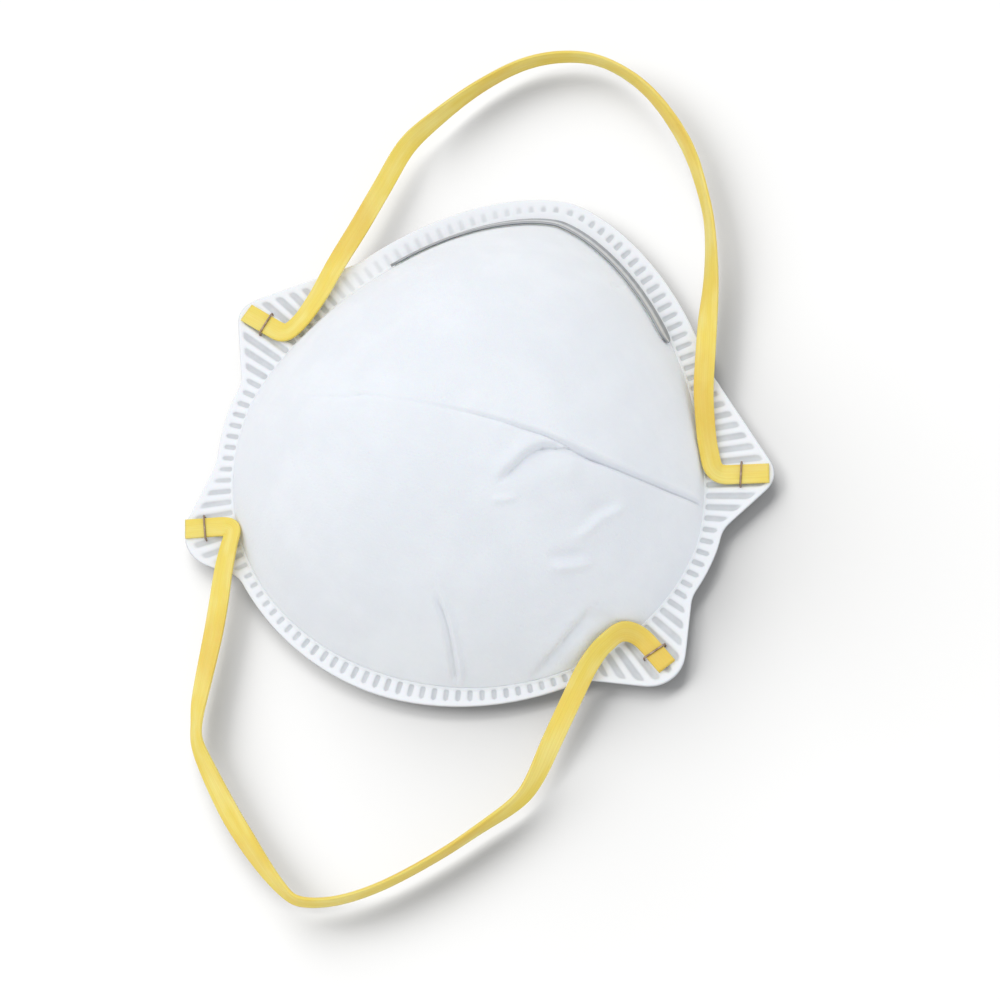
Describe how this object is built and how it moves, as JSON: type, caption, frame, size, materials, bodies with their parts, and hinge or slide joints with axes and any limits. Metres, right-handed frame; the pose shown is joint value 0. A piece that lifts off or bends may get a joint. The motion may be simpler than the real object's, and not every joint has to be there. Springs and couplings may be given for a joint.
{
  "type": "cup dust mask",
  "caption": "Moulded cup-shaped disposable dust mask with a ribbed welded rim, nose clip, nose foam and stapled elastic head and neck bands.",
  "frame": {"origin": "under the middle of the welded rim's outline, on the plane that the rim rests on", "axes": "+X to the right of the mask seen from its front, +Y to the nose, +Z out of the front of the cup"},
  "size_m": [0.1502, 0.2439, 0.051],
  "materials": {
    "cover_web": "soft spunbond nonwoven, matte white",
    "filter_web": "melt-blown nonwoven, matte white",
    "shell_web": "stiff thermoformed nonwoven, matte white",
    "liner_web": "smooth nonwoven, matte white",
    "welded_web": "fused nonwoven with pressed ribs, slightly glossy",
    "clip_aluminium": "rolled, satin",
    "adhesive": "dried hot melt",
    "foam": "open-cell foam, matte grey",
    "elastic": "flat yellow elastic band, semi-matte",
    "staple_steel": "coated wire"
  },
  "bodies": {
    "mask": {"outer_cover": "cover_web", "filter_layer": "filter_web", "support_shell": "shell_web", "inner_liner": "liner_web", "welded_rim": "welded_web", "nose_clip": "clip_aluminium", "clip_adhesive": "adhesive", "nose_foam": "foam", "staple_upper_left": "staple_steel", "staple_upper_right": "staple_steel", "staple_lower_left": "staple_steel", "staple_lower_right": "staple_steel"},
    "head_strap": {"head_band": "elastic"},
    "neck_strap": {"neck_band": "elastic"}
  },
  "joints": [
    {"name": "head_strap_swing", "type": "hinge", "parent": "mask", "child": "head_strap", "pos_m": [0, 0.0147, 0.0015], "axis": [1, 0, 0], "range_deg": [-90, 100], "deforming": ["head_band"]},
    {"name": "neck_strap_swing", "type": "hinge", "parent": "mask", "child": "neck_strap", "pos_m": [0, -0.0407, 0.0015], "axis": [-1, 0, 0], "range_deg": [-90, 100], "deforming": ["neck_band"]}
  ]
}
